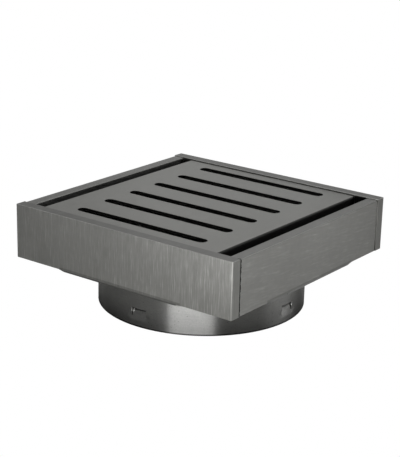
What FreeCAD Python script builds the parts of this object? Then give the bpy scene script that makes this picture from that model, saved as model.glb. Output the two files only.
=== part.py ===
"""Square floor waste: a folded double-skin tray, a drawn round outlet and a slotted lift-out grate.

Millimetres, +Z up. The origin is the centre of the outlet's lower rim, on which the part stands.
"""

import FreeCAD, Part
import math
import os

from FreeCAD import BoundBox, Vector

# Tray: one sheet, folded up into a base and four double-skin walls
tray_side = 110.0
wall_height = 23.0
wall_width = 5.0
tray_sheet = 1.0
hem_gap = 1.0
rim_radius = 0.25
corner_radius = 0.5

# Side walls: butted between the corner tabs of the front and back walls
side_setback = 0.3
side_rim_radius = 0.5
corner_seam = 0.3

# Outlet: one drawn sheet, its round flange trimmed flush with the tray
outlet_diameter = 88.0
outlet_drop = 20.0
outlet_sheet = 0.6
throat_radius = 2.0
flange_width = 19.0

# Lanced stops: four tongues cut from the outlet's wall and pressed inwards
stop_count = 4
stop_width = 7.5
stop_root = 3.2
stop_top = 7.8
stop_press = 1.2
stop_slit = 0.35

# Grate: a slotted channel that stands loose on the tray's base, nearer to its left wall.
# Its slots are centred over the outlet.
grate_sheet = 1.5
grate_recess = 0.6
grate_end_clearance = 0.4
grate_left_gap = 4.4
grate_right_gap = 6.0
grate_fold_radius = 1.0
slot_width = 4.6
slot_pitch = 16.5
slot_length = 65.0
slot_end_land = 5.0
slot_edge_bevel = 0.1

# Levels and reaches that follow from the sizes above
half = tray_side / 2
tray_underside = outlet_drop
base_top = tray_underside + tray_sheet
rim_top = tray_underside + wall_height
side_face = half - side_setback
outlet_radius = outlet_diameter / 2
bore_radius = outlet_radius - outlet_sheet
touch = 1e-5
cut_through = 1.0


def outline(corners):
    """Closed wire in the XZ plane through (x, z, radius) corners; a radius above zero is a tangent arc."""
    starts, ends, edges = [], [], []
    for i, (x, z, radius) in enumerate(corners):
        corner = Vector(x, 0, z)
        before = Vector(corners[i - 1][0], 0, corners[i - 1][1])
        after_x, after_z, _ = corners[(i + 1) % len(corners)]
        back = (before - corner).normalize()
        on = (Vector(after_x, 0, after_z) - corner).normalize()
        half_angle = back.getAngle(on) / 2
        reach = radius / math.tan(half_angle)
        starts.append(corner + back * reach)
        ends.append(corner + on * reach)
        if radius > 0:
            inward = (back + on).normalize()
            middle = corner + inward * (radius / math.sin(half_angle) - radius)
            edges.append(Part.Arc(starts[i], middle, ends[i]).toShape())
    for i, end in enumerate(ends):
        start = starts[(i + 1) % len(corners)]
        if end.distanceToPoint(start) > touch:
            edges.append(Part.LineSegment(end, start).toShape())
    return Part.Wire(Part.__sortEdges__(edges))


def prism(corners, length):
    """The outline as a solid, centred along Y."""
    face = Part.Face(outline(corners))
    face.translate(Vector(0, -length / 2, 0))
    return face.extrude(Vector(0, length, 0))


def turned(corners, angle):
    """The outline as a solid of revolution about Z, its sector centred on the X axis."""
    face = Part.Face(outline(corners))
    face.rotate(Vector(0, 0, 0), Vector(0, 0, 1), -angle / 2)
    return face.revolve(Vector(0, 0, 0), Vector(0, 0, 1), angle)


def block(x_range, y_range, z_range):
    """Box between the given low and high values."""
    low = Vector(x_range[0], y_range[0], z_range[0])
    return Part.makeBox(x_range[1] - low.x, y_range[1] - low.y, z_range[1] - low.z, low)


def turned_about_z(shape, degrees):
    """A copy of the shape, turned about the part's own axis."""
    copy = shape.copy()
    copy.rotate(Vector(0, 0, 0), Vector(0, 0, 1), degrees)
    return copy


def double_wall(length, outer_face, top, edge_radius, corner_bend, end_skin):
    """Front wall, folded up, over and down again: outer skin, rim and inner skin round a hollow.

    The inner skin stops a hem gap above the base. An end skin closes each end of the hollow.
    """
    inner_face = outer_face - wall_width
    span = (-length / 2, length / 2)
    wall = block(span, (-outer_face, -inner_face), (tray_underside, top))
    if corner_bend > 0:
        bends = [
            e
            for e in wall.Edges
            if e.BoundBox.ZLength > wall_width and e.BoundBox.YMax < touch - outer_face
        ]
        wall = wall.makeFillet(corner_bend, bends)
    rim_edges = [e for e in wall.Edges if e.BoundBox.ZMin > top - touch]
    wall = wall.makeFillet(edge_radius, rim_edges)
    hollow_span = (-length / 2 + end_skin, length / 2 - end_skin)
    hollow = block(
        hollow_span,
        (-outer_face + tray_sheet, -inner_face - tray_sheet),
        (base_top, top - tray_sheet),
    )
    hem = block(hollow_span, (-inner_face - tray_sheet, -inner_face), (base_top, base_top + hem_gap))
    return wall.cut(hollow.fuse(hem))


def tray():
    """Base and four walls; the front and back walls wrap round the corners as narrow tabs."""
    inner_front = half - wall_width
    front = double_wall(tray_side, half, rim_top, rim_radius, corner_radius, tray_sheet)
    side = double_wall(
        2 * inner_front, side_face, rim_top - side_setback, side_rim_radius, 0, 0
    )
    throat_hole = Part.makeCylinder(
        bore_radius + throat_radius,
        tray_sheet + 2 * cut_through,
        Vector(0, 0, tray_underside - cut_through),
    )
    base = block(
        (-side_face + wall_width, side_face - wall_width),
        (-inner_front, inner_front),
        (tray_underside, base_top),
    )
    folded = base.multiFuse(
        [front, turned_about_z(front, 180), turned_about_z(side, 90), turned_about_z(side, -90)]
    )
    seams = [
        block(
            sorted((x * (half - tray_sheet), x * half)),
            sorted((y * (inner_front + corner_seam), y * inner_front)),
            (tray_underside - cut_through, rim_top - rim_radius),
        )
        for x in (-1, 1)
        for y in (-1, 1)
    ]
    return folded.cut([throat_hole, *seams]).removeSplitter()


def outlet():
    """Tube and flange drawn from one disc, with a rounded throat and one lanced stop in each sector.

    The sectors' seams stay in its faces, because a whole turned bend is meshed finer than it needs.
    """
    flange_under = tray_underside - outlet_sheet
    flange_radius = outlet_radius + flange_width
    sector_angle = 360 / stop_count
    drawn = turned(
        [
            (bore_radius, 0, 0),
            (outlet_radius, 0, 0),
            (outlet_radius, flange_under, throat_radius - outlet_sheet),
            (flange_radius, flange_under, 0),
            (flange_radius, tray_underside, 0),
            (bore_radius, tray_underside, throat_radius),
        ],
        sector_angle,
    )
    stop_angle = math.degrees(stop_width / outlet_radius)
    slit_angle = math.degrees(stop_slit / outlet_radius)
    window = turned(
        [
            (bore_radius - cut_through, stop_root, 0),
            (outlet_radius + cut_through, stop_root, 0),
            (outlet_radius + cut_through, stop_top + stop_slit, 0),
            (bore_radius - cut_through, stop_top + stop_slit, 0),
        ],
        stop_angle + 2 * slit_angle,
    )
    tongue = turned(
        [
            (bore_radius, stop_root, 0),
            (outlet_radius, stop_root, 0),
            (outlet_radius - stop_press, stop_top, 0),
            (bore_radius - stop_press, stop_top, 0),
        ],
        stop_angle,
    )
    sector = drawn.cut(window).fuse(tongue).removeSplitter()
    others = [turned_about_z(sector, i * sector_angle) for i in range(1, stop_count)]
    tray_footprint = block((-side_face, side_face), (-half, half), (0, tray_underside))
    return sector.multiFuse(others).common(tray_footprint)


def grate():
    """Slotted top with both sides bent down to stand on the tray's base."""
    inner_side = side_face - wall_width
    left = grate_left_gap - inner_side
    right = inner_side - grate_right_gap
    length = tray_side - 2 * wall_width - 2 * grate_end_clearance
    top = rim_top - grate_recess
    under = top - grate_sheet
    channel = prism(
        [
            (left, base_top, 0),
            (left, top, grate_fold_radius),
            (right, top, grate_fold_radius),
            (right, base_top, 0),
            (right - grate_sheet, base_top, 0),
            (right - grate_sheet, under, 0),
            (left + grate_sheet, under, 0),
            (left + grate_sheet, base_top, 0),
        ],
        length,
    )
    slot_count = 1 + int((length - 2 * slot_end_land - slot_width) / slot_pitch)
    first = -slot_pitch * (slot_count - 1) / 2
    cutters = [
        slot_cutter(under, top).translated(Vector(0, first + i * slot_pitch, 0))
        for i in range(slot_count)
    ]
    slotted = channel.cut(cutters)
    slot_zone = BoundBox(
        -slot_length / 2, -length / 2, top, slot_length / 2, length / 2, top
    )
    slot_zone.enlarge(touch)
    lips = [e for e in slotted.Edges if slot_zone.isInside(e.BoundBox)]
    return slotted.makeChamfer(slot_edge_bevel, lips)


def slot_cutter(under, top):
    """Round-ended slot along X, through the grate's top."""
    radius = slot_width / 2
    low = under - cut_through
    high = top + cut_through
    centre = slot_length / 2 - radius
    middle = block((-centre, centre), (-radius, radius), (low, high))
    ends = [Part.makeCylinder(radius, high - low, Vector(x, 0, low)) for x in (-centre, centre)]
    return middle.multiFuse(ends).removeSplitter()


os.makedirs("parts", exist_ok=True)
for name, shape in (("tray", tray()), ("outlet", outlet()), ("grate", grate())):
    shape.exportStep(f"parts/{name}.step")
    print(name, "valid", shape.isValid(), "solids", len(shape.Solids), "volume", round(shape.Volume, 1))
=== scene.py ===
"""Looks of the square floor waste: brushed tray, drawn outlet and slotted grate.

Blender works in metres, +Z up. The sizes named below are in millimetres unless they say otherwise.
"""

import bpy
import numpy as np
from mathutils import Matrix, Vector


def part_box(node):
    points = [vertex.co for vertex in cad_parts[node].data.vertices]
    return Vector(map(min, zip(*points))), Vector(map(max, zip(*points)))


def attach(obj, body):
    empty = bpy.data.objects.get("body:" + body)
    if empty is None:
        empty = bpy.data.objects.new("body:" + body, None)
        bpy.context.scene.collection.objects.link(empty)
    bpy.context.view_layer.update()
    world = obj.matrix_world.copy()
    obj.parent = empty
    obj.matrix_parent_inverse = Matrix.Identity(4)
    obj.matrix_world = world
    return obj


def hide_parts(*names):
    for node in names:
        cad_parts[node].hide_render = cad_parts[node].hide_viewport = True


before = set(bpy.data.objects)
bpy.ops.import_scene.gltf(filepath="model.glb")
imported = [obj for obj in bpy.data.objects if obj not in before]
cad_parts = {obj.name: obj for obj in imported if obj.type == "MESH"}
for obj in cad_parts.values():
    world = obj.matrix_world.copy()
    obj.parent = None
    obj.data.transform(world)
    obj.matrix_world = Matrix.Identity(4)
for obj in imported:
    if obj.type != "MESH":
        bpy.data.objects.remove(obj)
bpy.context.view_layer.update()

MM = 0.001

# Camera: where the photograph was taken from, as angles round the part and a place in metres
CAMERA_AZIMUTH = 36.826
CAMERA_ELEVATION = 17.995
CAMERA_ROLL = -1.368
CAMERA_PLACE = (0.31296, -0.41996, 0.20071)
CAMERA_LENS = 102.86
SENSOR_WIDTH = 36.0

# Softboxes: azimuth from +X towards +Y, elevation, distance, width and height in metres, and
# radiance. All are aimed at one height over the middle of the outlet's rim
SOFTBOXES = {
    "front_low_box": (-62.2, 5, 0.25, 0.2, 0.07, 6.18),
    "front_near_card": (-62.2, 6, 0.16, 0.128, 0.06, 1.8),
    "front_high_box": (-90, 60, 0.45, 0.3, 0.2, 1.8),
    "top_box": (90, 80, 0.7, 0.5, 0.5, 0.6),
    "back_left_box": (126, 20, 0.5, 0.15, 0.25, 0.3),
    "back_right_box": (68, 38, 0.6, 0.4, 0.3, 1.0),
    "right_back_box": (48, 6, 0.4, 0.25, 0.1, 0.56),
    "right_card": (30, 10, 0.2, 0.12, 0.06, 1.18),
    "left_box": (170, 8, 0.5, 0.4, 0.12, 0.2),
    "back_low_box": (100, 8, 0.5, 0.4, 0.12, 0.65),
}
AIM_HEIGHT = 20.0

# Surround: the sines of the elevation where the metal starts to see its white and where it sees it
# fully, and the share of white that the dim room below has
SKY_LOW = 0.3
SKY_HIGH = 0.75
ROOM_LEVEL = 0.1
WHITE = (1, 1, 1, 1)

# Floor: pale paper with a painted shadow: its colour is a share of itself at the tube, and whole
# from PAPER_OPEN outwards
FLOOR_REACH = 1500.0
PAPER_COLOUR = "#e6e6e4"
PAPER_SHADED = 0.2
PAPER_OPEN = 68.0

# Corners of the tray and the grate, read from their meshes in model.glb
TRAY_LOW, TRAY_HIGH = (np.array(corner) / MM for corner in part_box("tray"))
GRATE_HIGH = np.array(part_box("grate")[1]) / MM

# Folded tray: the front and back walls wrap round the corners, and the side walls stand back
SHEET = 1.0
WALL_WIDTH = 5.0
SIDE_SETBACK = 0.3
SIDE_RIM_RADIUS = 0.5
CORNER_SEAM = 0.3
CORNER_BEND = 0.45
OUTER_SIDE = TRAY_HIGH[0] - SIDE_SETBACK
INNER_SIDE = OUTER_SIDE - WALL_WIDTH
INNER_FRONT = TRAY_HIGH[1] - WALL_WIDTH

# The front seams' ragged line of painted shade, and the welded band along the tray's lowest edge
SEAM_LIP = 0.2
FRAY_DEPTH = 1.2
FRAYS_PER_METRE = 700.0
WELD_REACH = 31.0
WELD_HEIGHT = 0.9

# Y where the painted light on the side faces ends. It starts at the front wall
PAINTED_LIGHT_END = -20.0

# Grate: an X just past its slots' ends, how far down the painted shade on their lips goes, and how
# far the metal has turned towards X where the painted shade on its bent sides starts and where it is full
SLOT_REACH = 32.7
SLOT_LIP = 0.7
BEND_START = 0.2
BEND_DARK = 0.6

# Brush marks on the side faces: their fineness, where it is 1 elsewhere, and how far they climb for
# each millimetre towards the back, as the belt was held
SIDE_FINENESS = 0.5
BELT_TILT = -0.1

# Brush marks' noise: its level where a mark starts, where it is plain and where it is roughest. Few
# marks are plain and most are faint, so the noise is raised to a power, and its mean is taken off
MARK_START = 0.3
MARK_PLAIN = 0.75
MARK_ROUGHEST = 0.7
MARK_POWER = 3.0
MARK_MEAN = 0.12

# How plainly the brush marks show: on the tray's rims and side faces, at the left and right ends of
# its front and back walls, and on top of the grate. Their rise from left to right is painted sheen
RIM_MARKS = 0.35
SIDE_MARKS = 0.42
LEFT_MARKS = 0.42
RIGHT_MARKS = 0.94
GRATE_MARKS = 0.4

# Brushed sheets: their tone between dark and pale, how far specks and clouds swing it, their
# roughness between marks and in them, and how far the marks draw highlights out
BRUSHED_TONE = 0.45
SPECK_SWING = 0.12
CLOUD_SWING = 0.15
BRUSHED_SMOOTH = 0.34
BRUSHED_ROUGH = 0.44
BRUSHED_ANISOTROPY = 0.85

# Drawn sheet: its noise where the tone is dark and where it is pale, the noise under which it is
# pitted, the depth of its rings, its roughness, and how far it draws highlights out
DRAWN_DARK = 0.36
DRAWN_PALE = 0.64
PIT_LEVEL = 0.2
RING_DEPTH = 0.003
DRAWN_ROUGHNESS = 0.376
DRAWN_ANISOTROPY = 0.97

# Heights on the tube: painted light makes it paler over the first two, and the painted contact
# shadow at its foot fades out over the others
PALER_FROM = 2.0
PALER_TO = 10.0
FOOT_DARK = 0.3
FOOT_TOP = 0.8

# Outlet: tube, throat bend and flange
TUBE_RADIUS = 44.0
OUTLET_SHEET = 0.6
THROAT_RADIUS = 2.0
FLANGE_RADIUS = 63.0
RIM_ROUNDING = 0.15

# Lanced stops of the outlet, at azimuths in degrees: each is a tongue, cut free along its top and the
# upper part of its sides, and pressed inwards
STOP_AZIMUTHS = (0, 90, 180, 272)
STOP_HALF = 3.5
STOP_ROOT = 2.2
STOP_TOP = 6.7
STOP_TOP_SLIT = 1.1
STOP_SLIT = 0.25
STOP_SLIT_FOOT = 4.2
STOP_PRESS = 1.0

# The fold beside a tongue: its share of the press, its reach round the tube, how far below the side
# slit's foot it starts to fade, and how far above the foot it is gone
FOLD_SHARE = 0.6
FOLD_REACH = 2.5
FOLD_LEAD = 0.2
FOLD_FADE = 1.8

# Grid of the outlet: its columns are fine round each stop and coarse to the next one, and its rows
# on the rim's rounding, the throat bend and the flange are counted in cells
FINE_REACH = 9.0
FINE_STEP = 0.25
COARSE_START = 12.0
COARSE_END = 58.0
COARSE_STEP = 3.0
RIM_CELLS = 3
BEND_CELLS = 8
FLANGE_CELLS = 8

# Angle in degrees from which an edge of the outlet is crisp
CREASE = 50.0

# Parts of the normal: from the first on a face is turned along an axis, from the second a rim is
# level, under the third a slot's wall has turned down, and under the last a face is turned away
FACING = 0.7
FACING_UP = 0.9
FACING_LIP = 0.8
FACING_HALF = 0.5

# Limits of the masks: one that takes in the middle of the part, the reach past a face, the smaller
# one past an edge, and a hair past a line of the grid
MIDDLE = -1.0
PAST = 0.05
SLACK = 0.02
TINY = 0.01

# Keeps a division by a sine or a cosine finite
NEARLY_NOUGHT = 1e-6

# Inputs of the Mix node, which has the same names for numbers, vectors and colours
VECTOR_A, VECTOR_B, COLOUR_A, COLOUR_B = 4, 5, 6, 7


def linear(hex_colour):
    """Scene-linear RGBA of an sRGB hex colour."""
    srgb = np.array([int(hex_colour[i : i + 2], 16) for i in (1, 3, 5)]) / 255
    flat = np.where(srgb <= 0.04045, srgb / 12.92, ((srgb + 0.055) / 1.055) ** 2.4)
    return (*flat.tolist(), 1.0)


def ease(low, high, value):
    """Smooth step from 0 at low to 1 at high."""
    t = np.clip((value - low) / (high - low), 0, 1)
    return t * t * (3 - 2 * t)


def empty_tree(owner):
    """The cleared node tree of a material or a world."""
    owner.use_nodes = True
    owner.node_tree.nodes.clear()
    return owner.node_tree


def add(tree, kind, sockets=(), **settings):
    """Adds a node with its settings and links.

    A socket is given a number, a colour, an output, or a node, whose first live output feeds it.
    """
    made = tree.nodes.new("ShaderNode" + kind)
    for name, value in settings.items():
        setattr(made, name, value)
    for name, value in dict(sockets).items():
        if isinstance(value, bpy.types.Node):
            value = next(output for output in value.outputs if output.enabled)
        if isinstance(value, bpy.types.NodeSocket):
            tree.links.new(value, made.inputs[name])
        else:
            made.inputs[name].default_value = value
    return made


def place_and_facing(tree):
    """Where the metal lies, how far out it lies, both in metres, and how far it faces along each axis."""
    place = add(tree, "SeparateXYZ", {0: add(tree, "TexCoord").outputs["Object"]}).outputs
    normal = add(tree, "SeparateXYZ", {0: add(tree, "NewGeometry").outputs["Normal"]}).outputs
    reach = [add(tree, "Math", {0: part}, operation="ABSOLUTE") for part in place]
    facing = [add(tree, "Math", {0: part}, operation="ABSOLUTE") for part in normal]
    return place, reach, facing


def within(tree, value, low, high):
    """1 where a length in metres lies between two limits in millimetres, and 0 elsewhere."""
    middle, half = (low + high) / 2 * MM, (high - low) / 2 * MM
    return add(tree, "Math", {0: value, 1: middle, 2: half}, operation="COMPARE")


def all_of(tree, *masks):
    """1 where every mask is 1."""
    found = masks[0]
    for mask in masks[1:]:
        found = add(tree, "Math", {0: found, 1: mask}, operation="MULTIPLY")
    return found


def given_back(tree, *places):
    """How much of its light a surface gives back, with painted light and shade, from pairs of a mask
    and the share that it loses there.

    A share below zero makes the place paler instead.
    """
    shade = 1.0
    for mask, loss in places:
        left = add(tree, "Math", {0: mask, 1: -loss, 2: 1.0}, operation="MULTIPLY_ADD")
        shade = add(tree, "Math", {0: shade, 1: left}, operation="MULTIPLY")
    return shade


def folded_sheet_marks(tree, place, reach, facing, belt_tilt):
    """Brush marks on the folded sheets, from where the metal lies and which way it faces.

    Across and along the marks, in metres, and the direction across them. On the front and back
    walls they run up the face and over the rim. On the sides, the base and the grate they run
    along Y, tilted on the side faces as the belt was held.
    """
    is_side = add(tree, "Math", {0: facing[0], 1: FACING}, operation="GREATER_THAN")
    is_level = add(tree, "Math", {0: facing[2], 1: FACING}, operation="GREATER_THAN")
    in_tab = within(tree, reach[1], INNER_FRONT + CORNER_SEAM / 2, TRAY_HIGH[1] + SHEET)
    is_tab = all_of(tree, is_side, in_tab)
    tilted_y = add(tree, "Math", {0: place[2], 1: belt_tilt, 2: place[1]}, operation="MULTIPLY_ADD")
    tilted_z = add(tree, "Math", {0: place[1], 1: -belt_tilt, 2: place[2]}, operation="MULTIPLY_ADD")
    coarse_z = add(tree, "Math", {0: tilted_z, 1: SIDE_FINENESS}, operation="MULTIPLY")
    marks = add(tree, "CombineXYZ", {0: place[0], 1: place[2]})
    across = (1, 0, 0)
    for mask, over, along, direction in (
        (is_level, place[0], place[1], (1, 0, 0)),
        (is_side, coarse_z, tilted_y, (0, 0, 1)),
        (is_tab, place[1], place[2], (0, 1, 0)),
    ):
        drawn = add(tree, "CombineXYZ", {0: over, 1: along})
        choice = {"Factor": mask, VECTOR_A: marks, VECTOR_B: drawn}
        marks = add(tree, "Mix", choice, data_type="VECTOR")
        choice = {"Factor": mask, VECTOR_A: across, VECTOR_B: direction}
        across = add(tree, "Mix", choice, data_type="VECTOR")
    return marks, across


def streaks(tree, marks, width, length, seed, detail=2.0):
    """Noise drawn out along the marks: one streak is about width by length, in millimetres."""
    size = (1 / (width * MM), 1 / (length * MM), 1)
    shift = (seed, seed, seed)
    drawn = add(tree, "VectorMath", {0: marks, 1: size, 2: shift}, operation="MULTIPLY_ADD")
    return add(tree, "TexNoise", {"Vector": drawn, "Scale": 1.0, "Detail": detail})


def brushed_steel(name, dark, pale, strength_of, shade_of, bump_height, belt_tilt=0.0):
    """Gunmetal-grey stainless sheet, brushed on a belt.

    The marks give fine pale and dark streaks, and draw each highlight out across them.
    strength_of finds how plainly they show at a place, and shade_of how much light it gives back,
    with painted light and shade.
    """
    material = bpy.data.materials.new(name)
    tree = empty_tree(material)
    place, reach, facing = place_and_facing(tree)
    marks, across = folded_sheet_marks(tree, place, reach, facing, belt_tilt)

    # The belt's own marks are under 0.1 mm wide, and are drawn as coarse as they need to show
    hairs = streaks(tree, marks, width=0.36, length=5, seed=3.1)
    strokes = streaks(tree, marks, width=0.5, length=12, seed=17.7)
    specks = streaks(tree, marks, width=2.2, length=2.6, seed=8.9)
    clouds = streaks(tree, marks, width=12, length=20, seed=41.3)
    brushing = add(tree, "Mix", {"Factor": 0.5, "A": hairs, "B": strokes})
    marked = {"Value": brushing, "From Min": MARK_START, "From Max": MARK_PLAIN}
    plain = add(tree, "MapRange", marked)
    fainter = add(tree, "Math", {0: plain, 1: MARK_POWER}, operation="POWER")
    scratched = add(tree, "Math", {0: fainter, 1: MARK_MEAN}, operation="SUBTRACT")

    # Specks and clouds are noise round a half, so half of their swing comes off the tone
    spread = BRUSHED_TONE - (SPECK_SWING + CLOUD_SWING) / 2
    for pattern, swing in (
        (scratched, strength_of(tree, place, facing)),
        (specks, SPECK_SWING),
        (clouds, CLOUD_SWING),
    ):
        spread = add(tree, "Math", {0: pattern, 1: swing, 2: spread}, operation="MULTIPLY_ADD")
    tones = {"Factor": spread, COLOUR_A: linear(dark), COLOUR_B: linear(pale)}
    sheet = add(tree, "Mix", tones, data_type="RGBA")
    shade = shade_of(tree, place, reach, facing)
    worn = {
        "Value": brushing,
        "From Min": MARK_START,
        "From Max": MARK_ROUGHEST,
        "To Min": BRUSHED_SMOOTH,
        "To Max": BRUSHED_ROUGH,
    }
    relief = {"Strength": 1.0, "Distance": bump_height * MM, "Height": brushing}
    finish = {
        "Base Color": add(tree, "VectorMath", {0: sheet, "Scale": shade}, operation="SCALE"),
        "Roughness": add(tree, "MapRange", worn),
        "Normal": add(tree, "Bump", relief),
        "Tangent": across,
        "Metallic": 1.0,
        "Anisotropic": BRUSHED_ANISOTROPY,
    }
    add(tree, "OutputMaterial", {"Surface": add(tree, "BsdfPrincipled", finish)})
    return material


def tray_strength(tree, place, facing):
    """Marks that show more towards the right of the front wall, as a painted sheen, and faintly on the
    rims and the sides.
    """
    # The marks' rise from left to right is a painted sheen
    along = {"Value": place[0], "From Min": TRAY_LOW[0] * MM, "From Max": TRAY_HIGH[0] * MM}
    front = add(tree, "MapRange", {**along, "To Min": LEFT_MARKS, "To Max": RIGHT_MARKS})
    strength = RIM_MARKS
    for part, marked in ((facing[0], SIDE_MARKS), (facing[1], front)):
        turned = add(tree, "Math", {0: part, 1: FACING}, operation="GREATER_THAN")
        strength = add(tree, "Mix", {"Factor": turned, "A": strength, "B": marked})
    return strength


def tray_shade(tree, place, reach, facing):
    """Darker rims, painted shade in the well, painted corner highlights and a grey welded band.

    The front seams get a ragged line of painted shade and the back seams painted light. The side
    rims' bends get painted shade on both edges, and the side faces painted light towards the front.
    """
    under_rim = TRAY_HIGH[2] - SIDE_SETBACK - SIDE_RIM_RADIUS
    inside = TRAY_LOW[2] + SHEET / 2
    seam_from, seam_to = TRAY_HIGH[0] - SHEET - 2 * PAST, TRAY_HIGH[0] - SLACK
    in_side_bend = all_of(
        tree,
        within(tree, place[2], under_rim, TRAY_HIGH[2]),
        within(tree, reach[1], MIDDLE, INNER_FRONT),
    )
    rim = all_of(
        tree,
        within(tree, place[2], TRAY_HIGH[2] - SHEET, TRAY_HIGH[2] + SHEET),
        add(tree, "Math", {0: facing[2], 1: FACING_UP}, operation="GREATER_THAN"),
    )
    front_rim = all_of(tree, rim, within(tree, reach[1], INNER_FRONT, TRAY_HIGH[1]))
    # Painted shade in the well, where little light reaches
    well = all_of(
        tree,
        within(tree, reach[0], MIDDLE, INNER_SIDE + PAST),
        within(tree, place[1], -INNER_FRONT - PAST, INNER_FRONT - PAST),
        within(tree, place[2], inside, TRAY_HIGH[2]),
    )
    # Painted shade on the back wall's inner face, at the back end of the gap right of the grate
    painted_shade_at_well_end = all_of(
        tree,
        within(tree, place[0], GRATE_HIGH[0], INNER_SIDE + PAST),
        within(tree, place[1], INNER_FRONT - PAST, INNER_FRONT + PAST),
        within(tree, place[2], inside, TRAY_HIGH[2] - SHEET / 2),
    )
    # Painted shade on the side rims' outer and inner bends, where they would catch the light
    painted_shade_on_outer_bend = all_of(
        tree, in_side_bend, within(tree, reach[0], OUTER_SIDE - SIDE_RIM_RADIUS, OUTER_SIDE + PAST)
    )
    painted_shade_on_inner_bend = all_of(
        tree, in_side_bend, within(tree, reach[0], INNER_SIDE + PAST, INNER_SIDE + SIDE_RIM_RADIUS)
    )
    # Painted light on the side faces, strongest at the front wall and fading out towards the back
    from_front = {"Value": place[1], "From Min": -INNER_FRONT * MM, "From Max": PAINTED_LIGHT_END * MM}
    painted_light_near_front = all_of(
        tree,
        add(tree, "MapRange", {**from_front, "To Min": 1.0, "To Max": 0.0}),
        add(tree, "Math", {0: facing[0], 1: FACING}, operation="GREATER_THAN"),
    )
    # Painted highlight on the upright corner bends
    painted_highlight_on_corner_bend = all_of(
        tree,
        within(tree, reach[0], TRAY_HIGH[0] - CORNER_BEND, TRAY_HIGH[0] + SHEET),
        within(tree, reach[1], TRAY_HIGH[1] - CORNER_BEND, TRAY_HIGH[1] + SHEET),
    )
    # Painted shade in the open front seams, with a ragged edge drawn by noise
    at = add(tree, "TexCoord").outputs["Object"]
    frays = add(tree, "TexNoise", {"Vector": at, "Scale": FRAYS_PER_METRE})
    frayed = {0: frays, 1: -FRAY_DEPTH * MM, 2: place[1]}
    painted_shade_in_front_seams = all_of(
        tree,
        within(
            tree,
            add(tree, "Math", frayed, operation="MULTIPLY_ADD"),
            -INNER_FRONT - FRAY_DEPTH,
            -INNER_FRONT + SEAM_LIP,
        ),
        within(tree, reach[0], seam_from, seam_to),
    )
    # Painted light in the back seams, which takes out most of their shade
    painted_light_in_back_seams = all_of(
        tree,
        within(tree, place[1], INNER_FRONT - SLACK, INNER_FRONT + CORNER_SEAM + SLACK),
        within(tree, reach[0], seam_from, seam_to),
    )
    under_flange = add(tree, "Math", {0: reach[0], 1: reach[1]}, operation="MINIMUM")
    weld = all_of(
        tree,
        within(tree, place[2], TRAY_LOW[2] - SHEET, TRAY_LOW[2] + WELD_HEIGHT),
        within(tree, under_flange, MIDDLE, WELD_REACH),
        add(tree, "Math", {0: facing[2], 1: FACING_HALF}, operation="LESS_THAN"),
    )
    return given_back(
        tree,
        (rim, 0.17),
        (front_rim, 0.15),
        (well, 0.62),
        (painted_shade_at_well_end, 0.8),
        (painted_shade_on_outer_bend, 0.34),
        (painted_shade_on_inner_bend, 0.35),
        (painted_light_near_front, -0.13),
        (painted_highlight_on_corner_bend, -0.2),
        (painted_shade_in_front_seams, 0.95),
        (painted_light_in_back_seams, -0.4),
        (weld, 0.25),
    )


def grate_strength(tree, place, facing):
    """Marks that are faint on top, and fade where the metal turns down."""
    return add(tree, "Math", {0: facing[2], 1: GRATE_MARKS}, operation="MULTIPLY")


def grate_shade(tree, place, reach, facing):
    """Bright on top, with painted shade, nearly black, at the slots' lips and down the bent sides.

    Below the lips the slots' walls get painted light, so that they show in the little light there.
    """
    # The slots' walls: below their lips they get painted light
    slot_wall = all_of(
        tree,
        within(tree, reach[0], MIDDLE, SLOT_REACH),
        add(tree, "Math", {0: facing[2], 1: FACING_LIP}, operation="LESS_THAN"),
    )
    # Painted shade, nearly black, on the slots' lips
    near_top = within(tree, place[2], GRATE_HIGH[2] - SLOT_LIP, GRATE_HIGH[2] + SHEET)
    painted_shade_on_slot_lips = all_of(tree, slot_wall, near_top)
    # Painted shade down the grate's bent sides, which face into the dark gaps
    turning = {"Value": facing[0], "From Min": BEND_START, "From Max": BEND_DARK}
    bent = add(tree, "MapRange", turning)
    return given_back(tree, (slot_wall, -0.8), (painted_shade_on_slot_lips, 0.9), (bent, 0.92))


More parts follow.
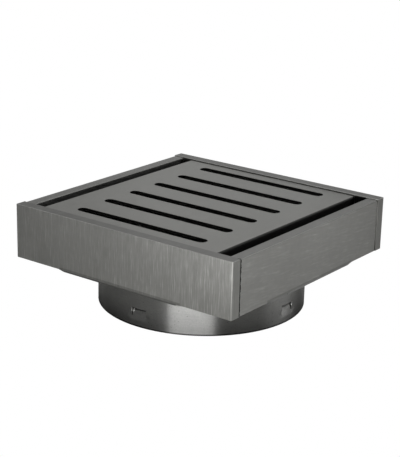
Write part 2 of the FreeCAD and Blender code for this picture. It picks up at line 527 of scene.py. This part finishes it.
def drawn_steel(name, dark, pale):
    """Gunmetal-grey stainless sheet, drawn over a punch.

    It is smooth, with faint rings, specks and pits, and long upright highlights. Its inside and its
    cut flange's edges get painted shade, its foot a painted contact shadow and its upper tube painted
    light, and the edges of its slits a painted glint.
    """
    material = bpy.data.materials.new(name)
    tree = empty_tree(material)
    place, reach, facing = place_and_facing(tree)

    # The punch's rings and pits are under 0.1 mm, and are drawn as coarse as they need to show
    sheet = add(tree, "UVMap", uv_map="sheet")
    rings = streaks(tree, sheet, width=0.25, length=8, seed=5.3)
    specks = streaks(tree, sheet, width=0.7, length=0.7, seed=61.7)
    clouds = streaks(tree, sheet, width=5, length=6, seed=23.9)
    pitting = streaks(tree, sheet, width=0.5, length=0.5, seed=87.1, detail=0.0)
    uneven = 0.0
    for pattern, share in ((rings, 0.3), (specks, 0.4), (clouds, 0.3)):
        uneven = add(tree, "Math", {0: pattern, 1: share, 2: uneven}, operation="MULTIPLY_ADD")
    spread = add(tree, "MapRange", {"Value": uneven, "From Min": DRAWN_DARK, "From Max": DRAWN_PALE})
    tones = {"Factor": spread, COLOUR_A: linear(dark), COLOUR_B: linear(pale)}
    colour = add(tree, "Mix", tones, data_type="RGBA")

    # The direction out from the axis tells the outer skin, the inner skin and the cut edges apart
    geometry = add(tree, "NewGeometry").outputs
    outwards = add(tree, "CombineXYZ", {0: place[0], 1: place[1]})
    outwards = add(tree, "VectorMath", {0: outwards}, operation="NORMALIZE")
    ring = add(tree, "VectorMath", {0: (0, 0, 1), 1: outwards}, operation="CROSS_PRODUCT")
    across = add(tree, "VectorMath", {0: geometry["Normal"], 1: ring}, operation="CROSS_PRODUCT")
    turned_out = {0: outwards, 1: geometry["True Normal"]}
    turned_out = add(tree, "VectorMath", turned_out, operation="DOT_PRODUCT")
    sideways = add(tree, "Math", {0: turned_out}, operation="ABSOLUTE")

    in_flange = within(tree, place[2], TRAY_LOW[2] - OUTLET_SHEET - SLACK, TRAY_LOW[2] + SLACK)
    on_front = within(tree, reach[1], TRAY_HIGH[1] - PAST, TRAY_HIGH[1] + PAST)
    on_side = within(tree, reach[0], OUTER_SIDE - PAST, OUTER_SIDE + PAST)
    # Painted shade on the flange's cut edges, under the tray's walls
    painted_shade_front_flange_edge = all_of(tree, in_flange, on_front)
    painted_shade_side_flange_edge = all_of(tree, in_flange, on_side)
    # Painted glint on the upright cut edges of the slits
    painted_glint_on_slit_edges = all_of(
        tree,
        add(tree, "Math", {0: sideways, 1: FACING_HALF}, operation="LESS_THAN"),
        add(tree, "Math", {0: facing[2], 1: FACING_HALF}, operation="LESS_THAN"),
        within(tree, place[2], STOP_SLIT_FOOT + FOLD_FADE, STOP_TOP + STOP_TOP_SLIT),
    )
    # Painted light, paler higher up the tube
    rise = {"Value": place[2], "From Min": PALER_FROM * MM, "From Max": PALER_TO * MM}
    painted_light_up_tube = add(tree, "MapRange", rise)
    # Painted contact shadow along the tube's foot
    above_rim = {"Value": place[2], "From Min": FOOT_DARK * MM, "From Max": FOOT_TOP * MM}
    foot = add(tree, "MapRange", {**above_rim, "To Min": 1.0, "To Max": 0.0})
    pits = add(tree, "Math", {0: pitting, 1: PIT_LEVEL}, operation="LESS_THAN")
    # Painted shade on the inner skin
    painted_shade_on_inner_skin = add(tree, "Math", {0: turned_out, 1: -FACING_HALF}, operation="LESS_THAN")
    shade = given_back(
        tree,
        (painted_light_up_tube, -0.2),
        (foot, 0.85),
        (pits, 0.6),
        (painted_shade_front_flange_edge, 0.4),
        (painted_shade_side_flange_edge, 0.25),
        (painted_glint_on_slit_edges, -2.4),
        (painted_shade_on_inner_skin, 0.85),
    )
    relief = {"Strength": 1.0, "Distance": RING_DEPTH * MM, "Height": rings}
    finish = {
        "Base Color": add(tree, "VectorMath", {0: colour, "Scale": shade}, operation="SCALE"),
        "Normal": add(tree, "Bump", relief),
        "Tangent": across,
        "Metallic": 1.0,
        "Roughness": DRAWN_ROUGHNESS,
        "Anisotropic": DRAWN_ANISOTROPY,
    }
    add(tree, "OutputMaterial", {"Surface": add(tree, "BsdfPrincipled", finish)})
    return material


def grid_piece(name, points, sheet, kept):
    """A mesh from a grid of points in millimetres that closes round its first axis.

    sheet holds each point's place on the flat sheet, and kept says which cells of the grid are there.
    """
    rows, columns = points.shape[:2]
    corner = np.arange(rows * columns).reshape(rows, columns)
    turned = np.roll(corner, -1, axis=0)
    cells = np.stack([corner[:, :-1], turned[:, :-1], turned[:, 1:], corner[:, 1:]], -1)[kept]
    mesh = bpy.data.meshes.new(name)
    mesh.from_pydata((points.reshape(-1, 3) * MM).tolist(), [], cells.tolist())
    flat = [sheet[:-1, :-1], sheet[1:, :-1], sheet[1:, 1:], sheet[:-1, 1:]]
    layer = mesh.uv_layers.new(name="sheet")
    layer.data.foreach_set("uv", (np.stack(flat, 2)[kept].reshape(-1) * MM).astype(np.float32))
    piece = bpy.data.objects.new(name, mesh)
    bpy.context.scene.collection.objects.link(piece)
    return piece


def outlet_profile(flange_under):
    """Radius and height of the outlet's outer skin, from its lower rim to where the flange starts.

    A quarter circle rounds the rim, straight rows climb the tube, with one cell over the height of
    the stops' top slit, and another quarter circle turns the throat out to the flange's underside.
    """
    throat = THROAT_RADIUS - OUTLET_SHEET
    rim_turn = np.radians(np.linspace(0, 90, RIM_CELLS + 1)[:-1])
    bend_turn = np.radians(np.linspace(0, 90, BEND_CELLS + 1)[1:])
    spans = (
        (RIM_ROUNDING, STOP_ROOT, 8),
        (STOP_ROOT, STOP_SLIT_FOOT, 10),
        (STOP_SLIT_FOOT, STOP_TOP, 12),
        (STOP_TOP + STOP_TOP_SLIT, flange_under - throat, 16),
    )
    tube = np.unique(np.concatenate([np.linspace(low, high, count) for low, high, count in spans]))
    rim_radius = TUBE_RADIUS - RIM_ROUNDING * (1 - np.sin(rim_turn))
    rim_height = RIM_ROUNDING * (1 - np.cos(rim_turn))
    bend_radius = TUBE_RADIUS + throat * (1 - np.cos(bend_turn))
    bend_height = flange_under - throat + throat * np.sin(bend_turn)
    radius = np.concatenate([rim_radius, np.full(tube.size, TUBE_RADIUS), bend_radius])
    return radius, np.concatenate([rim_height, tube, bend_height])


def outlet_columns():
    """Azimuth of each column of the outlet's grid, and its arc length from the middle of its stop."""
    near = np.arange(-FINE_REACH, FINE_REACH + TINY, FINE_STEP)
    slit_sides = [-STOP_HALF - STOP_SLIT, -STOP_HALF, STOP_HALF, STOP_HALF + STOP_SLIT]
    far = np.arange(COARSE_START, COARSE_END, COARSE_STEP)
    quarter = np.unique(np.round(np.concatenate([near, slit_sides, far]), 6))
    azimuth = np.concatenate([quarter / TUBE_RADIUS + np.radians(turn) for turn in STOP_AZIMUTHS])
    return azimuth, np.tile(quarter, len(STOP_AZIMUTHS))


def stop_press(arc, height):
    """How far the wall is pressed in at an arc length from a stop's middle and a height.

    The tongue leans in from its root to its slit top. Beside it the wall is drawn in by a share of
    that, along a fold which fades out over its reach and above the foot of the side slits.
    """
    lean = ease(STOP_ROOT, STOP_TOP, height)
    beside = 1 - ease(0, FOLD_REACH, np.abs(arc) - STOP_HALF)
    above = 1 - ease(STOP_SLIT_FOOT - FOLD_LEAD, STOP_SLIT_FOOT + FOLD_FADE, height)
    on_tongue = (np.abs(arc) <= STOP_HALF + TINY) & (height <= STOP_TOP + TINY)
    below_slit = height <= STOP_SLIT_FOOT
    wall = FOLD_SHARE * lean * beside * np.where(below_slit, 1, above)
    return STOP_PRESS * np.where(on_tongue, lean, np.where(height > STOP_TOP, 0, wall))


def flange_edge(azimuth):
    """Reach of the flange at an azimuth: its circle, cut off where the tray's faces come first."""
    to_side = OUTER_SIDE / np.maximum(np.abs(np.cos(azimuth)), NEARLY_NOUGHT)
    to_front = TRAY_HIGH[1] / np.maximum(np.abs(np.sin(azimuth)), NEARLY_NOUGHT)
    return np.minimum(FLANGE_RADIUS, np.minimum(to_side, to_front))


def outlet_cells(arc, level):
    """Which cells of the outlet's grid are sheet: all but those in the slits over and beside a tongue."""
    out = np.abs((arc + np.roll(arc, -1)) / 2)[:, None]
    up = ((level[1:] + level[:-1]) / 2)[None, :]
    in_window = (out < STOP_HALF + STOP_SLIT) & (up < STOP_TOP + STOP_TOP_SLIT)
    over_tongue = in_window & (up > STOP_TOP)
    beside_tongue = in_window & (out > STOP_HALF) & (up > STOP_SLIT_FOOT)
    return ~(over_tongue | beside_tongue)


def outlet():
    """The drawn outlet: a profile of (radius, height) carried round Z, pressed in at the stops.

    The profile is the outer skin, from the rounded lower rim up the tube, round the throat bend
    and out along the flange. A point's place on the flat sheet is the length run along the profile
    and the arc length round the tube. The cells of the slits are left out, and the sheet's
    thickness is then laid on inwards.
    """
    flange_under = TRAY_LOW[2] - OUTLET_SHEET
    radius, height = outlet_profile(flange_under)
    azimuth, arc = outlet_columns()
    pressed = radius[None, :] - stop_press(arc[:, None], height[None, :])
    outwards = np.linspace(0, 1, FLANGE_CELLS + 1)[None, 1:]
    flange = radius[-1] + (flange_edge(azimuth) - radius[-1])[:, None] * outwards
    reach = np.concatenate([pressed, flange], 1)
    level = np.concatenate([height, np.full(FLANGE_CELLS, flange_under)])
    x, y = reach * np.cos(azimuth)[:, None], reach * np.sin(azimuth)[:, None]
    points = np.stack([x, y, np.broadcast_to(level, reach.shape)], -1)

    run = np.concatenate([[0], np.cumsum(np.hypot(np.diff(reach[0]), np.diff(level)))])
    round_tube = np.append(azimuth, azimuth[0] + 2 * np.pi) * TUBE_RADIUS
    sheet = np.stack(np.broadcast_arrays(run[None, :], round_tube[:, None]), -1)

    piece = grid_piece("drawn_outlet", points, sheet, outlet_cells(arc, level))
    wall = piece.modifiers.new("sheet", "SOLIDIFY")
    wall.thickness = OUTLET_SHEET * MM
    wall.offset = -1
    wall.use_even_offset = True
    piece.data.shade_smooth()
    crisp = piece.modifiers.new("cut_edges", "EDGE_SPLIT")
    crisp.split_angle = np.radians(CREASE)
    return piece


def place_camera():
    """The photograph's camera, turned by azimuth, elevation and roll."""
    azimuth, elevation, roll = np.radians([CAMERA_AZIMUTH, CAMERA_ELEVATION, CAMERA_ROLL])
    ahead = np.cos(elevation)
    back = Vector((np.sin(azimuth) * ahead, -np.cos(azimuth) * ahead, np.sin(elevation)))
    right = Vector((np.cos(azimuth), np.sin(azimuth), 0))
    up = back.cross(right)
    turned_right = np.cos(roll) * right - np.sin(roll) * up
    turned_up = np.sin(roll) * right + np.cos(roll) * up
    camera = bpy.data.objects.new("camera", bpy.data.cameras.new("camera"))
    camera.data.lens = CAMERA_LENS
    camera.data.sensor_width = SENSOR_WIDTH
    turned = Matrix((turned_right, turned_up, back)).transposed().to_4x4()
    camera.matrix_world = Matrix.Translation(CAMERA_PLACE) @ turned
    bpy.context.scene.collection.objects.link(camera)
    bpy.context.scene.camera = camera


def softbox(name, azimuth, elevation, distance, width, height, radiance):
    """Rectangular lamp aimed at the middle of the part. A mirror shows radiance 1 as white."""
    lamp = bpy.data.lights.new(name, "AREA")
    lamp.shape = "RECTANGLE"
    lamp.size = width
    lamp.size_y = height
    lamp.energy = radiance * width * height * np.pi
    box = bpy.data.objects.new(name, lamp)
    turn, rise = np.radians([azimuth, elevation])
    towards = Vector((np.cos(turn) * np.cos(rise), np.sin(turn) * np.cos(rise), np.sin(rise)))
    box.location = Vector((0, 0, AIM_HEIGHT * MM)) + distance * towards
    box.rotation_euler = towards.to_track_quat("Z", "Y").to_euler()
    box.visible_camera = False
    bpy.context.scene.collection.objects.link(box)


def light_world():
    """A white surround to the camera and through glass, and overhead in the metal, with a dim room below."""
    world = bpy.data.worlds.new("studio")
    tree = empty_tree(world)
    path = add(tree, "LightPath").outputs
    direct = {0: path["Is Camera Ray"], 1: path["Is Transmission Ray"]}
    seen = add(tree, "Math", direct, operation="MAXIMUM")
    rise = add(tree, "SeparateXYZ", {0: add(tree, "TexCoord").outputs["Generated"]}).outputs["Z"]
    overhead = add(tree, "MapRange", {"Value": rise, "From Min": SKY_LOW, "From Max": SKY_HIGH})
    mirrored = add(tree, "Math", {0: path["Is Glossy Ray"], 1: overhead}, operation="MULTIPLY")
    share = add(tree, "Math", {0: seen, 1: mirrored}, operation="MAXIMUM")
    white = add(tree, "Background", {"Color": WHITE, "Strength": 1.0})
    dim = add(tree, "Background", {"Color": WHITE, "Strength": ROOM_LEVEL})
    add(tree, "OutputWorld", {"Surface": add(tree, "MixShader", {0: share, 1: dim, 2: white})})
    bpy.context.scene.world = world


def lay_floor():
    """A flat square of pale paper under the outlet's rim.

    The camera sees it plain white round the outlet, and as paper inside it. The metal sees lit
    paper that darkens towards the tube, where the part keeps the light of the room away.
    """
    mesh = bpy.data.meshes.new("floor")
    side = np.array([-FLOOR_REACH, FLOOR_REACH]) * MM
    across, along = np.meshgrid(side, side, indexing="ij")
    points = np.stack([across, along, np.zeros_like(across)], -1).reshape(-1, 3)
    mesh.from_pydata(points.tolist(), [], [(0, 2, 3, 1)])
    floor = bpy.data.objects.new("floor", mesh)
    bpy.context.scene.collection.objects.link(floor)
    material = bpy.data.materials.new("studio_floor")
    tree = empty_tree(material)
    path = add(tree, "LightPath").outputs
    direct = {0: path["Is Camera Ray"], 1: path["Is Transmission Ray"]}
    seen = add(tree, "Math", direct, operation="MAXIMUM")
    at = add(tree, "TexCoord").outputs["Object"]
    from_axis = add(tree, "VectorMath", {0: at}, operation="LENGTH")
    outside = {0: from_axis, 1: TUBE_RADIUS * MM}
    seen_outside = all_of(tree, seen, add(tree, "Math", outside, operation="GREATER_THAN"))
    beside = {"Value": from_axis, "From Min": TUBE_RADIUS * MM, "From Max": PAPER_OPEN * MM}
    open_to_light = add(tree, "MapRange", {**beside, "To Min": PAPER_SHADED, "To Max": 1.0})
    tone = {0: linear(PAPER_COLOUR)[:3], "Scale": open_to_light}
    paper = add(tree, "BsdfDiffuse", {"Color": add(tree, "VectorMath", tone, operation="SCALE")})
    white = add(tree, "Emission", {"Color": WHITE, "Strength": 1.0})
    surface = add(tree, "MixShader", {0: seen_outside, 1: paper, 2: white})
    add(tree, "OutputMaterial", {"Surface": surface})
    mesh.materials.append(material)


def dress(piece, material):
    """Gives a piece its only material, in its one slot."""
    piece.data.materials.clear()
    piece.data.materials.append(material)


place_camera()

tray_steel = brushed_steel(
    "brushed_tray_steel",
    dark="#6c6c6a",
    pale="#b0b0ad",
    strength_of=tray_strength,
    shade_of=tray_shade,
    bump_height=0.01,
    belt_tilt=BELT_TILT,
)
grate_steel = brushed_steel(
    "brushed_grate_steel",
    dark="#7d7d7a",
    pale="#a2a29f",
    strength_of=grate_strength,
    shade_of=grate_shade,
    bump_height=0.004,
)
outlet_steel = drawn_steel("drawn_outlet_steel", dark="#868685", pale="#929290")

dress(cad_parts["tray"], tray_steel)
dress(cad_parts["grate"], grate_steel)
drawn_outlet = outlet()
dress(drawn_outlet, outlet_steel)
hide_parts("outlet")
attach(drawn_outlet, "root")

for box_name, setting in SOFTBOXES.items():
    softbox(box_name, *setting)
light_world()
lay_floor()

bpy.context.scene.view_settings.view_transform = "Standard"
